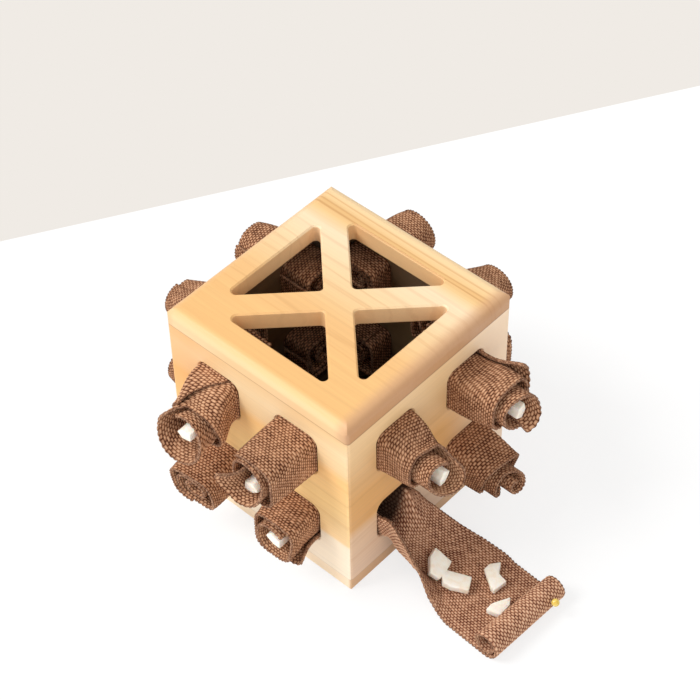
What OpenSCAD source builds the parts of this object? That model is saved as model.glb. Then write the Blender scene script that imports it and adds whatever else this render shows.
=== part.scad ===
// Puzzle feeder: a wooden box with a windowed lid, whose sixteen side holes
// hold rolled straps of webbing. One strap is unrolled and laid on the floor.
// Millimetres, +Z up, origin on the floor under the middle of the box.

/* [Box] */
// Width of the box, left to right
box_w = 120; // [110:1:160]
// Depth of the box, front to back
box_d = 120; // [110:1:160]
// Height of the box, floor to the top of the lid
box_h = 124; // [112:1:170]
// Thickness of the four side boards
wall_t = 7; // [5:0.5:9]
// Thickness of the bottom board
base_t = 8; // [5:0.5:10]
// Thickness of the lid
lid_t = 10.5; // [8:0.5:12]
// Radius on the lid's top edges
lid_round = 5.5; // [2:0.5:7]
// Radius on the box's four standing edges
edge_r = 2; // [1:0.5:4]
// Radius on the bottom board's lower edges
foot_round = 1.5; // [0.5:0.5:3]
// Depth of the easing on the rims of the holes and windows
ease = 0.8; // [0.4:0.1:1.2]

/* [Lid windows] */
// Width of the rail around the windows
rail_w = 15.5; // [12:0.5:22]
// Width of the two crossing arms
arm_w = 14.2; // [8:0.2:20]
// Corner radius of a window
window_r = 2.5; // [1.5:0.5:4]

/* [Side holes] */
// Distance between the two columns of holes on a side
hole_pitch = 52; // [44:1:62]
// Distance between the two rows of holes
row_pitch = 52; // [44:1:60]
// Corner radius of a hole
hole_r = 5; // [3:0.5:7]
// Clearance between a loaded roll and its hole, all round
roll_gap = 0.5; // [0.4:0.1:1]

/* [Straps] */
// Width of the webbing
strap_w = 51; // [42:1:62]
// Thickness of the webbing
strap_t = 1.8; // [1.4:0.1:2.2]
// Length of a strap
strap_len = 143; // [119:1:172]
// Air between two wraps of a roll
wrap_gap = 0.4; // [0.2:0.1:0.6]
// Radius of the hollow in a roll that holds a treat
treat_core = 5.7; // [4.5:0.1:7]
// Radius of the hollow in a roll without one
bare_core = 4.6; // [3.5:0.1:5.6]
// Gap between a roll and the lower edge of its hole
seat_gap = 0.3; // [0.2:0.1:0.5]

/* [Laid-out strap] */
// Length of the strap's inner end inside the board's outer face
laid_in = 12; // [8:1:16]
// Distance from the board to the middle of the far roll
laid_reach = 76.5; // [72:0.5:82]
// Height of the lip that the strap keeps beside the hole
lip_h = 18; // [12:1:20]
// Turn of the far end towards the front, degrees
laid_yaw = 3.2; // [0:0.1:6]
// Radius of the hollow in the far roll
far_core = 3; // [2.5:0.1:4]

/* [Treats] */
// Thickness of a piece of treat
treat_t = 4; // [3:0.5:5]

/* [Pin] */
// Diameter of the pin's bead
bead_d = 4.2; // [3:0.2:6]
// Diameter of the pin's needle
needle_d = 0.8; // [0.6:0.1:1]
// Length of the needle outside the bead
needle_len = 12; // [9:1:14]
// Tilt of the pin above level, degrees
pin_tilt = 25; // [0:1:35]
// Clearance of the needle in the webbing, on its radius
needle_gap = 0.2; // [0.1:0.05:0.3]

/* [Hidden] */
$fn = 64;
FRONT = 0;
RIGHT = 90;
BACK = 180;
LEFT = 270;
over = 1;               // how far a cut runs past a face
facet = 15;             // turn of one facet of a rolled strap, degrees
sink_step = 0.05;       // step in which a treat is let down onto the wrap below it
turns_back = 360;
wrap_pitch = strap_t + wrap_gap;
wall_h = box_h - lid_t - base_t;

// A roll's radius follows from the strap's length and the hollow it is wound round
function outer_r(core) = sqrt(pow(core + strap_t / 2, 2) + strap_len * wrap_pitch / PI) + strap_t / 2;
function wound_turn(core) = turns_back * (outer_r(core) - core - strap_t) / wrap_pitch;
hole_size = 2 * (outer_r(treat_core) + roll_gap);
core_half = hole_pitch / 2 + outer_r(treat_core) + seat_gap; // square that the inner ends stand on
row_z = [box_h / 2 - row_pitch / 2, box_h / 2 + row_pitch / 2];

// Laid-out strap, measured from the hole it comes from
hole_x = box_w / 2;
hole_y = -hole_pitch / 2;
bend_r = hole_r - seat_gap - strap_t / 2;      // the strap's bend in the hole's corner
low_z = row_z[0] - hole_size / 2 + seat_gap + strap_t / 2;
near_y = hole_y - hole_size / 2 + seat_gap + strap_t / 2;
quarter = PI / 2 * bend_r;
hole_flat = hole_size - 2 * hole_r;
least_lip = 2;          // least height of the strap's far lip in the hole
near_lip = min(lip_h, strap_w - 2 * quarter - hole_flat - least_lip);
far_lip = strap_w - near_lip - 2 * quarter - hole_flat;
chute_run = 50;         // run from the board to where the strap lies flat
chute_slack = 9;        // strap that the slope and the bends take beyond that run
spread = 5.2;           // how far the near edge moves out from the hole to the floor
flat_z = strap_t / 2;
roll_x = hole_x + laid_reach;
yaw_from = hole_x + 20; // the turn of the far end starts here
yaw_x = hole_x + 44;    // and is complete here
mid_y = near_y - spread + strap_w / 2;         // middle of the strap on the floor
laid_len = laid_in + chute_slack + laid_reach; // strap used before the far roll
far_mid = sqrt(pow(far_core + strap_t / 2, 2) + (strap_len - laid_len) * wrap_pitch / PI);
far_turn = turns_back * (far_mid - far_core - strap_t / 2) / wrap_pitch;
pin_side = 0.61;        // place of the pin between the far roll's middle and its end
pin_z = flat_z + far_mid; // height of the far roll's axis, which the pin points at
bore_d = needle_d + 2 * needle_gap;

wood_cream = "#f6ddb4";
wood_amber = "#f0c98c";
wood_tan = "#d9ae7c";
webbing = "#80594a";
chunk = "#f3ece0";

// ---- Flat shapes -------------------------------------------------------

function unit(v) = v / norm(v);
function turned_out(v) = [v.y, -v.x];

// Convex outline with round corners, from the centres of its corner arcs (anticlockwise)
module round_outline(centres, r) {
    n = len(centres);
    polygon([for (i = [0:n - 1], end = [0, 1])
        let (a = centres[i], b = centres[(i + 1) % n], out = r * turned_out(unit(b - a)))
        (end == 0 ? a : b) + out]);
    for (c = centres) translate(c) circle(r);
}

function rect_centres(w, d, r) = [for (s = [[-1, -1], [1, -1], [1, 1], [-1, 1]])
    [s.x * (w / 2 - r), s.y * (d / 2 - r)]];

// Side view of a slab: flat underneath, rounded on top
module slab_side(w, t, r) {
    translate([-w / 2, 0]) square([w, t - r]);
    translate([-w / 2 + r, 0]) square([w - 2 * r, t]);
    for (s = [-1, 1]) translate([s * (w / 2 - r), t - r]) circle(r);
}

// ---- Board shapes ------------------------------------------------------

// Slab with rounded top edges and eased standing edges
module round_slab(w, d, t, top_r) {
    intersection() {
        linear_extrude(t) round_outline(rect_centres(w, d, edge_r), edge_r);
        rotate([90, 0, 0]) translate([0, 0, -d]) linear_extrude(2 * d) slab_side(w, t, top_r);
        rotate([90, 0, 90]) translate([0, 0, -w]) linear_extrude(2 * w) slab_side(d, t, top_r);
    }
}

// Cut straight down through a board of thickness t, with its upper rim eased
module eased_cut(centres, r, t) {
    n = len(centres);
    rise = ease + over;
    translate([0, 0, -over]) linear_extrude(t + 2 * over) round_outline(centres, r);
    translate([0, 0, t - ease]) {
        for (c = centres) translate([c.x, c.y, -over]) cylinder(h = over + rise, r1 = r - over, r2 = r + rise);
        for (i = [0:n - 1]) {
            a = centres[i];
            b = centres[(i + 1) % n];
            translate(a) rotate([0, 0, atan2(b.y - a.y, b.x - a.x)]) rotate([90, 0, 90])
                linear_extrude(norm(b - a))
                    polygon([[0, -over], [over - r, -over], [-r - rise, rise], [0, rise]]);
        }
    }
}

// Side board standing at the front of a box of the given width and depth
module side_board(width, depth) {
    half = width / 2;
    face = -depth / 2;
    difference() {
        translate([0, 0, base_t]) linear_extrude(wall_h) intersection() {
            polygon([[-half, face], [half, face],
                     [half - wall_t, face + wall_t], [wall_t - half, face + wall_t]]);
            round_outline(rect_centres(width, depth, edge_r), edge_r);
        }
        for (side = [-1, 1], z = row_z)
            translate([side * hole_pitch / 2, face + wall_t, z]) rotate([90, 0, 0])
                eased_cut(rect_centres(hole_size, hole_size, hole_r), hole_r, wall_t);
    }
}

// Corner arcs of the window whose long side is towards -Y, in an opening of half sizes hx and hy
function window_centres(hx, hy) =
    let (diag = norm([hx, hy]),
         tip = [0, -arm_w / 2 * diag / hx],
         foot = hx - arm_w / 2 * diag / hy,
         a = [-foot, -hy], b = [foot, -hy],
         sides = [norm(b - tip), norm(tip - a), norm(b - a)],
         round = sides[0] + sides[1] + sides[2],
         middle = (sides[0] * a + sides[1] * b + sides[2] * tip) / round,
         inradius = 2 * foot * (hy + tip.y) / round)
    [for (p = [a, b, tip]) middle + (p - middle) * (1 - window_r / inradius)];

// ---- Boards ------------------------------------------------------------

module lid() {
    hx = box_w / 2 - rail_w;
    hy = box_d / 2 - rail_w;
    color(wood_cream) translate([0, 0, box_h - lid_t]) difference() {
        round_slab(box_w, box_d, lid_t, lid_round);
        for (turn = [0, 180]) {
            rotate([0, 0, turn]) eased_cut(window_centres(hx, hy), window_r, lid_t);
            rotate([0, 0, turn + 90]) eased_cut(window_centres(hy, hx), window_r, lid_t);
        }
    }
}

module bottom_board() {
    color(wood_amber) translate([0, 0, base_t]) mirror([0, 0, 1])
        round_slab(box_w, box_d, base_t, foot_round);
}

module front_board() { color(wood_cream) side_board(box_w, box_d); }
module right_board() { color(wood_tan) rotate([0, 0, RIGHT]) side_board(box_d, box_w); }
module back_board() { color(wood_cream) rotate([0, 0, BACK]) side_board(box_w, box_d); }
module left_board() { color(wood_tan) rotate([0, 0, LEFT]) side_board(box_d, box_w); }

// ---- Rolled straps -----------------------------------------------------

function face_out(face) = (face == FRONT || face == BACK ? box_d : box_w) / 2;

// Middle of a hole, seen from outside: x to the right, y up, z out of the board
module at_hole(face, side, row) {
    rotate([0, 0, face]) translate([side * hole_pitch / 2, -face_out(face), row_z[row]])
        rotate([90, 0, 0]) children();
}

// The strap's middle line winds outwards; the angle counts from its inner end
function spiral_point(core, a, layer) =
    (core + strap_t / 2 + wrap_pitch * a / turns_back + layer * strap_t / 2) * [cos(a), sin(a)];

function spiral_band(core, from, to) =
    let (n = ceil((to - from) / facet))
    concat([for (i = [0:n]) spiral_point(core, from + (to - from) * i / n, 1)],
           [for (i = [n:-1:0]) spiral_point(core, from + (to - from) * i / n, -1)]);

// A rolled strap: face, column and row of its hole, radius of its hollow, how much deeper it
// sits than a plain roll, how far each part of its length stands out past the outermost part,
// from the inner end outwards, and the angle of its outer edge.
front_upper_left = [FRONT, -1, 1, treat_core, 12, [10, 5, 0], 35];
front_upper_right = [FRONT, 1, 1, treat_core, 0, [4, 2, 0], 70];
front_lower_left = [FRONT, -1, 0, bare_core, 3, [2, 1, 0], 10];
front_lower_right = [FRONT, 1, 0, treat_core, 10, [0, 0, 0], 50];
right_upper_front = [RIGHT, -1, 1, treat_core, 12, [12, 6, 0], 80];
right_upper_back = [RIGHT, 1, 1, treat_core, 3, [12, 6, 0], 60];
right_lower_back = [RIGHT, 1, 0, bare_core, 3, [9, 5, 0], 20];
back_upper_left = [BACK, -1, 1, bare_core, 0, [0, 0, 0], 40];
back_upper_right = [BACK, 1, 1, bare_core, 0, [9, 5, 0], 100];
back_lower_left = [BACK, -1, 0, bare_core, 0, [9, 5, 0], 60];
back_lower_right = [BACK, 1, 0, bare_core, 0, [0, 0, 0], 120];
left_upper_front = [LEFT, 1, 1, bare_core, 0, [0, 0, 0], 90];
left_upper_back = [LEFT, -1, 1, bare_core, 4, [0, 0, 0], 30];
left_lower_front = [LEFT, 1, 0, bare_core, 0, [9, 5, 0], 75];
left_lower_back = [LEFT, -1, 0, bare_core, 2, [0, 0, 0], 15];

function roll_core(roll) = roll[3];
function roll_steps(roll) = roll[5];
function roll_edge(roll) = roll[6];
function inner_end(roll) = core_half - face_out(roll[0]) - roll[4];

// A roll rests on the wrap that lies under its middle
function under_r(roll) = outer_r(roll_core(roll))
    - wrap_pitch * ((roll_edge(roll) + 90) % turns_back) / turns_back;

// Frame of a roll, on its axis at its inner end
module at_roll(roll) {
    at_hole(roll[0], roll[1], roll[2])
        translate([0, seat_gap + under_r(roll) - hole_size / 2, inner_end(roll)]) children();
}

module rolled_strap(roll) {
    core = roll_core(roll);
    steps = roll_steps(roll);
    total = wound_turn(core);
    share = total / len(steps);
    color(webbing) at_roll(roll) rotate([0, 0, roll_edge(roll) - total])
        for (i = [0:len(steps) - 1])
            translate([0, 0, steps[i]])
                linear_extrude(strap_w) polygon(spiral_band(core, share * i, share * (i + 1)));
}

module front_upper_left_strap() { rolled_strap(front_upper_left); }
module front_upper_right_strap() { rolled_strap(front_upper_right); }
module front_lower_left_strap() { rolled_strap(front_lower_left); }
module front_lower_right_strap() { rolled_strap(front_lower_right); }
module right_upper_front_strap() { rolled_strap(right_upper_front); }
module right_upper_back_strap() { rolled_strap(right_upper_back); }
module right_lower_back_strap() { rolled_strap(right_lower_back); }
module back_upper_left_strap() { rolled_strap(back_upper_left); }
module back_upper_right_strap() { rolled_strap(back_upper_right); }
module back_lower_left_strap() { rolled_strap(back_lower_left); }
module back_lower_right_strap() { rolled_strap(back_lower_right); }
module left_upper_front_strap() { rolled_strap(left_upper_front); }
module left_upper_back_strap() { rolled_strap(left_upper_back); }
module left_lower_front_strap() { rolled_strap(left_lower_front); }
module left_lower_back_strap() { rolled_strap(left_lower_back); }

// ---- Laid-out strap ----------------------------------------------------

// Each table gives a value against the share of the run from the board to the flat part
function run_share(x) = max(0, min(1, (x - hole_x) / chute_run));
function fall(x) = low_z + (flat_z - low_z) * lookup(run_share(x),
    [[0, 0], [0.05, 0.01], [0.12, 0.09], [0.22, 0.33], [0.38, 0.7], [0.54, 0.89], [0.7, 0.97], [0.88, 1], [1, 1]]);
function lip_lean(x) = lookup(run_share(x),
    [[0, 90], [0.22, 84], [0.38, 74], [0.54, 55], [0.7, 28], [0.88, 8], [1, 0]]);
function lip_part(x) = near_lip * lookup(run_share(x),
    [[0, 1], [0.22, 0.85], [0.38, 0.7], [0.54, 0.6], [0.7, 0.5], [1, 0.3]]);
function far_bend(x) = lookup(run_share(x),
    [[0, 90], [0.06, 84], [0.12, 66], [0.22, 47], [0.38, 28], [0.54, 13], [0.7, 4], [0.85, 0], [1, 0]]);
function far_widen(x) = lookup(run_share(x), [[0, 0], [0.2, 10], [1, 10]]); // strap added to the far bend
function edge_y(x) = near_y - spread * lookup(run_share(x),
    [[0, 0], [0.36, -0.32], [0.54, -0.1], [0.71, 0.45], [0.87, 0.77], [1, 1]]);
function yaw(x) = -laid_yaw * max(0, min(1, (x - yaw_from) / (yaw_x - yaw_from)));

// Heading across the strap, v from its near edge: down the lip, round the bend, along, up the far lip
function heading(x, v) =
    let (bend = bend_r * lip_lean(x) * PI / 180,
         far = quarter + far_widen(x),
         far_start = strap_w - far_lip - far)
    far_bend(x) * max(0, min(1, (v - far_start) / far))
        - lip_lean(x) * max(0, min(1, 1 - (v - lip_part(x)) / max(bend, 0.01)));

// Places across the strap where its section is drawn, closer at the bends
across = [for (f = [0, 0.18, 0.35, 0.39, 0.43, 0.47, 0.56, 0.68, 0.8, 0.84, 0.88, 0.92, 1]) f * strap_w];
last = len(across) - 1;
bend_end = 5;           // the place just past the bend in the hole, whose height `fall` gives

function section_walk(x) = [for (i = 0, p = [0, 0]; i <= last;
    p = i < last ? p + (across[i + 1] - across[i]) * [cos(heading(x, (across[i] + across[i + 1]) / 2)),
                                                      sin(heading(x, (across[i] + across[i + 1]) / 2))] : p,
    i = i + 1) p];

// Turned about a standing line through the strap's middle
function swung(p, x) = let (a = yaw(x), d = [p.x - yaw_x, p.y - mid_y])
    [yaw_x + d.x * cos(a) - d.y * sin(a), mid_y + d.x * sin(a) + d.y * cos(a), p.z];

function chute_section(x) =
    let (walk = section_walk(x))
    [for (p = walk) swung([x, edge_y(x) + p.x, max(flat_z, fall(x) + p.y - walk[bend_end].y)], x)];

function roll_section(a) =
    let (r = far_mid - wrap_pitch * a / turns_back)
    [for (v = across) swung([roll_x + r * sin(a), mid_y - strap_w / 2 + v,
        far_mid + flat_z - r * cos(a)], roll_x)];

chute_x = [-laid_in, -5, 0, 2, 4, 6, 9, 12, 15, 18, 21, 24, 27, 30, 34, 38, 42, 46, chute_run, 60, 70];
laid_grid = concat([for (x = chute_x) chute_section(hole_x + x)],
                   [for (a = [0:facet:far_turn]) roll_section(a)]);
rows = len(laid_grid);
cols = last + 1;

function grid_normal(i, j) =
    unit(cross(laid_grid[min(i + 1, rows - 1)][j] - laid_grid[max(i - 1, 0)][j],
               laid_grid[i][min(j + 1, last)] - laid_grid[i][max(j - 1, 0)]));

module laid_sheet() {
    skin = [for (layer = [1, -1], i = [0:rows - 1], j = [0:last])
        laid_grid[i][j] + layer * strap_t / 2 * grid_normal(i, j)];
    under = rows * cols;
    faces = concat(
        [for (i = [0:rows - 2], j = [0:last - 1]) let (k = i * cols + j) each
            [[k, k + 1, k + cols], [k + 1, k + cols + 1, k + cols]]],
        [for (i = [0:rows - 2], j = [0:last - 1]) let (k = under + i * cols + j) each
            [[k, k + cols, k + 1], [k + 1, k + cols, k + cols + 1]]],
        [for (i = [0:rows - 2], j = [0, last]) let (k = i * cols + j, m = k + under)
            each j == 0 ? [[k, k + cols, m], [k + cols, m + cols, m]]
                        : [[k, m, k + cols], [k + cols, m, m + cols]]],
        [for (j = [0:last - 1], i = [0, rows - 1]) let (k = i * cols + j, m = k + under)
            each i == 0 ? [[k, m, k + 1], [k + 1, m, m + 1]]
                        : [[k, k + 1, m], [k + 1, m + 1, m]]]);
    polyhedron(skin, faces, convexity = 8);
}

// Frame of the pin, on the far roll's outer face, pointing out of the roll
module at_pin() {
    translate([yaw_x, mid_y, 0]) rotate([0, 0, -laid_yaw])
        translate([roll_x - yaw_x, pin_side * strap_w / 2, pin_z]) rotate([0, 90 - pin_tilt, 0])
            translate([0, 0, far_mid + strap_t / 2]) children();
}

module laid_out_strap() {
    color(webbing) difference() {
        laid_sheet();
        at_pin() translate([0, 0, -needle_len - over]) cylinder(h = needle_len + 3 * over, d = bore_d);
    }
}

// ---- Treats ------------------------------------------------------------

// Outline of a treat in a roll, turned, against the radius of the hollow
function treat_outline(roll, tilt) =
    [for (p = [[-0.92, -0.35], [0.1, -0.62], [0.95, -0.25], [0.6, 0.5], [-0.5, 0.62]])
        (roll_core(roll) - seat_gap) * [p.x * cos(tilt) - p.y * sin(tilt), p.x * sin(tilt) + p.y * cos(tilt)]];

// Radius of the hollow in the direction of q, which grows along the spiral from its inner end
function hollow_r(roll, q) =
    let (from = atan2(q.y, q.x) - roll_edge(roll) + wound_turn(roll_core(roll)))
    (roll_core(roll) + wrap_pitch * ((from % turns_back + turns_back) % turns_back) / turns_back) * cos(facet / 2);

// How far a treat sinks from the roll's axis until it lies on the wrap below it
function sunk(roll, outline) =
    let (n = len(outline),
         rim = [for (i = [0:n - 1], f = [0:0.25:0.75]) outline[i] * (1 - f) + outline[(i + 1) % n] * f])
    max(concat([0], [for (d = [0:sink_step:roll_core(roll)])
        if (min([for (p = rim) let (q = p - [0, d]) hollow_r(roll, q) - norm(q)]) > seat_gap) d]));

// Piece of treat in the mouth of a roll, sized to the hollow it lies in. `out` is how far it
// stands past the roll's innermost wrap, so below zero it is sunk in the mouth.
module rolled_treat(roll, out, tilt) {
    outline = treat_outline(roll, tilt);
    color(chunk) at_roll(roll)
        translate([0, -sunk(roll, outline), roll_steps(roll)[0] + strap_w + out])
            mirror([0, 0, 1]) linear_extrude(3 * (roll_core(roll) - seat_gap)) polygon(outline);
}

module front_upper_left_treat() { rolled_treat(front_upper_left, -3, 200); }
module front_upper_right_treat() { rolled_treat(front_upper_right, -2, 20); }
module front_lower_right_treat() { rolled_treat(front_lower_right, -2, 340); }
module right_upper_front_treat() { rolled_treat(right_upper_front, -1, 250); }
module right_upper_back_treat() { rolled_treat(right_upper_back, -3, 80); }

// Piece of treat lying on the strap: distance from the board, distance from the strap's near
// edge, lift off the strap where that is hollow, lean and tilt with the strap, and its outline
module laid_treat(x, v, lift, turn, outline) {
    section = chute_section(hole_x + x);
    y = lookup(v, [for (i = [0:last]) [across[i], section[i].y]]);
    z = lookup(v, [for (i = [0:last]) [across[i], section[i].z]]);
    color(chunk) translate([hole_x + x, y, z + lift + seat_gap]) rotate(turn)
        translate([0, 0, flat_z]) linear_extrude(treat_t) polygon(outline);
}

module laid_treat_near_hole() {
    laid_treat(24, 20, 1.75, [-4, 33, 0], [[-6, 0.5], [-7.5, 6], [3.5, 8], [5, 2], [5.5, -4], [0, -6]]);
}
module laid_treat_near_lip() {
    laid_treat(38.5, 18, 0.7, [-3, 4, 0], [[-8, -0.5], [-7, 2], [5, 8], [9.5, 0], [1.5, -4.5], [-3, -5.5]]);
}
module laid_treat_far_side() {
    laid_treat(51.5, 34, 0.1, [0, 0, 0],
        [[-6.5, -0.5], [-7, 3.5], [-3, 8.5], [0.5, 2.5], [6.5, 1], [5.5, -7.5], [3.5, -7.5]]);
}
module laid_treat_near_roll() {
    laid_treat(62.5, 21.5, 0, [0, 0, 0], [[-3, -5], [-3.5, -0.5], [1.5, 9], [4, 5], [4.5, -3]]);
}

// ---- Pin ---------------------------------------------------------------

module pin_bead() {
    color("#e8c84a") at_pin() translate([0, 0, bead_d / 2 + seat_gap]) difference() {
        sphere(d = bead_d);
        translate([0, 0, -bead_d]) cylinder(h = bead_d, d = needle_d);
    }
}

module pin_needle() {
    color("silver") at_pin() translate([0, 0, -needle_len]) {
        translate([0, 0, over]) cylinder(h = needle_len + seat_gap + bead_d / 2 - over, d = needle_d);
        cylinder(h = over, d1 = needle_d / 4, d2 = needle_d);
    }
}

// ---- The toy -----------------------------------------------------------

lid();
bottom_board();
front_board();
right_board();
back_board();
left_board();
front_upper_left_strap();
front_upper_right_strap();
front_lower_left_strap();
front_lower_right_strap();
right_upper_front_strap();
right_upper_back_strap();
right_lower_back_strap();
back_upper_left_strap();
back_upper_right_strap();
back_lower_left_strap();
back_lower_right_strap();
left_upper_front_strap();
left_upper_back_strap();
left_lower_front_strap();
left_lower_back_strap();
laid_out_strap();
front_upper_left_treat();
front_upper_right_treat();
front_lower_right_treat();
right_upper_front_treat();
right_upper_back_treat();
laid_treat_near_hole();
laid_treat_near_lip();
laid_treat_far_side();
laid_treat_near_roll();
pin_bead();
pin_needle();
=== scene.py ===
import math
import random

import bmesh
import bpy
from mathutils import Matrix, Vector, noise


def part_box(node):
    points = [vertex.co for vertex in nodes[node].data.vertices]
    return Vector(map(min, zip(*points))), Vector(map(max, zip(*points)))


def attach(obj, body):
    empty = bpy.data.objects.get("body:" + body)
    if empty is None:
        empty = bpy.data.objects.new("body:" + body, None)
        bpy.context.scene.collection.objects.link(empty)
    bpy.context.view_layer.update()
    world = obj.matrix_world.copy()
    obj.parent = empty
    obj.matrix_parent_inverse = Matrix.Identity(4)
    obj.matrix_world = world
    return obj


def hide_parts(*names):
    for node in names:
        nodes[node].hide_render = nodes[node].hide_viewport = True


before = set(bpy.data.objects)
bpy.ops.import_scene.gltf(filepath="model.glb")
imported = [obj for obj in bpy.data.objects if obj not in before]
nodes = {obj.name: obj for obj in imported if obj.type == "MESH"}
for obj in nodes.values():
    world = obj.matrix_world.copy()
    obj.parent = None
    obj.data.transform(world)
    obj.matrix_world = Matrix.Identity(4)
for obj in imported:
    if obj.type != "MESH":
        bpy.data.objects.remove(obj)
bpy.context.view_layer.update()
mm = 0.001
print("frame loaded:", len(nodes), "nodes")


def linearTone(text):  # "#RRGGBB" as it looks on screen, to the renderer's linear values
    values = [int(text[i:i + 2], 16) / 255 for i in (1, 3, 5)]
    return [v / 12.92 if v <= 0.04045 else ((v + 0.055) / 1.055) ** 2.4 for v in values] + [1.0]


def along(table, x):  # value of a table of (place, value) pairs, eased between its places
    if x <= table[0][0]:
        return table[0][1]
    for (x0, y0), (x1, y1) in zip(table, table[1:]):
        if x <= x1:
            t = (x - x0) / (x1 - x0)
            return y0 + (y1 - y0) * t * t * (3 - 2 * t)
    return table[-1][1]


def straightAlong(table, x):
    if x <= table[0][0]:
        return table[0][1]
    for (x0, y0), (x1, y1) in zip(table, table[1:]):
        if x <= x1:
            return y0 + (y1 - y0) * (x - x0) / (x1 - x0)
    return table[-1][1]


def easeIn(low, high, x):
    t = max(0.0, min(1.0, (x - low) / (high - low)))
    return t * t * (3 - 2 * t)


def addObject(name, bm, *materials):  # a mesh object from a bmesh, which is freed
    mesh = bpy.data.meshes.new(name)
    bm.to_mesh(mesh)
    bm.free()
    for material in materials:
        mesh.materials.append(material)
    added = bpy.data.objects.new(name, mesh)
    bpy.context.scene.collection.objects.link(added)
    return added


class Finish:  # a material being wired up
    def __init__(self, name):
        self.material = bpy.data.materials.new(name)
        self.material.use_nodes = True
        self.tree = self.material.node_tree
        self.tree.nodes.clear()
        self.out = self.tree.nodes.new("ShaderNodeOutputMaterial")
        self.shader = self.tree.nodes.new("ShaderNodeBsdfPrincipled")
        self.tree.links.new(self.shader.outputs["BSDF"], self.out.inputs["Surface"])

    def put(self, node, key, value):
        if value is None:
            return
        if isinstance(value, bpy.types.NodeSocket):
            self.tree.links.new(value, node.inputs[key])
        else:
            node.inputs[key].default_value = value

    def sums(self, operation, a, b=None, c=None):
        node = self.tree.nodes.new("ShaderNodeMath")
        node.operation = operation
        for i, v in enumerate((a, b, c)):
            self.put(node, i, v)
        return node.outputs[0]

    def coordinates(self, kind="Object"):
        return self.tree.nodes.new("ShaderNodeTexCoord").outputs[kind]

    def split(self, vector):
        node = self.tree.nodes.new("ShaderNodeSeparateXYZ")
        self.put(node, 0, vector)
        return node.outputs

    def joined(self, x, y, z):
        node = self.tree.nodes.new("ShaderNodeCombineXYZ")
        for i, v in enumerate((x, y, z)):
            self.put(node, i, v)
        return node.outputs[0]

    def stretched(self, vector, scale, shift=(0, 0, 0)):
        node = self.tree.nodes.new("ShaderNodeMapping")
        self.put(node, "Vector", vector)
        node.inputs["Scale"].default_value = scale
        node.inputs["Location"].default_value = shift
        return node.outputs[0]

    def cloud(self, vector, scale, detail=3.0, rough=0.5):
        node = self.tree.nodes.new("ShaderNodeTexNoise")
        self.put(node, "Vector", vector)
        node.inputs["Scale"].default_value = scale
        node.inputs["Detail"].default_value = detail
        node.inputs["Roughness"].default_value = rough
        return node.outputs["Fac"]

    def specks(self, vector):
        node = self.tree.nodes.new("ShaderNodeTexWhiteNoise")
        self.put(node, "Vector", vector)
        return node.outputs["Value"]

    def ranged(self, value, low, high, to=(0.0, 1.0), smooth=False):
        node = self.tree.nodes.new("ShaderNodeMapRange")
        node.interpolation_type = "SMOOTHSTEP" if smooth else "LINEAR"
        self.put(node, "Value", value)
        for key, v in zip(("From Min", "From Max", "To Min", "To Max"), (low, high, *to)):
            node.inputs[key].default_value = v
        return node.outputs[0]

    def ramp(self, value, stops):
        node = self.tree.nodes.new("ShaderNodeValToRGB")
        self.put(node, "Fac", value)
        elements = node.color_ramp.elements
        elements[0].position, elements[0].color = stops[0]
        elements[1].position, elements[1].color = stops[-1]
        for place, colour in stops[1:-1]:
            elements.new(place).color = colour
        return node.outputs["Color"]

    def mixed(self, share, a, b, way="MIX"):
        node = self.tree.nodes.new("ShaderNodeMix")
        node.data_type = "RGBA"
        node.blend_type = way
        self.put(node, 0, share)
        self.put(node, 6, a)
        self.put(node, 7, b)
        return node.outputs[2]

    def bumped(self, height, strength, distance):
        node = self.tree.nodes.new("ShaderNodeBump")
        node.inputs["Strength"].default_value = strength
        node.inputs["Distance"].default_value = distance
        self.put(node, "Height", height)
        self.put(self.shader, "Normal", node.outputs[0])


grain = {
    "slow": (55.0, 7.0), "fine": (900.0, 14.0),  # noise scales across the grain and along it, per metre
    "wander": 8.0, "lineFrom": 0.55, "patches": (0.45, 0.7), "streaks": (0.93, 1.04), "flecks": (0.66, 0.76),
    "rough": (0.42, 0.58), "bump": (0.12, 0.0004), "soften": (0.6, 0.7),
}


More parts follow.
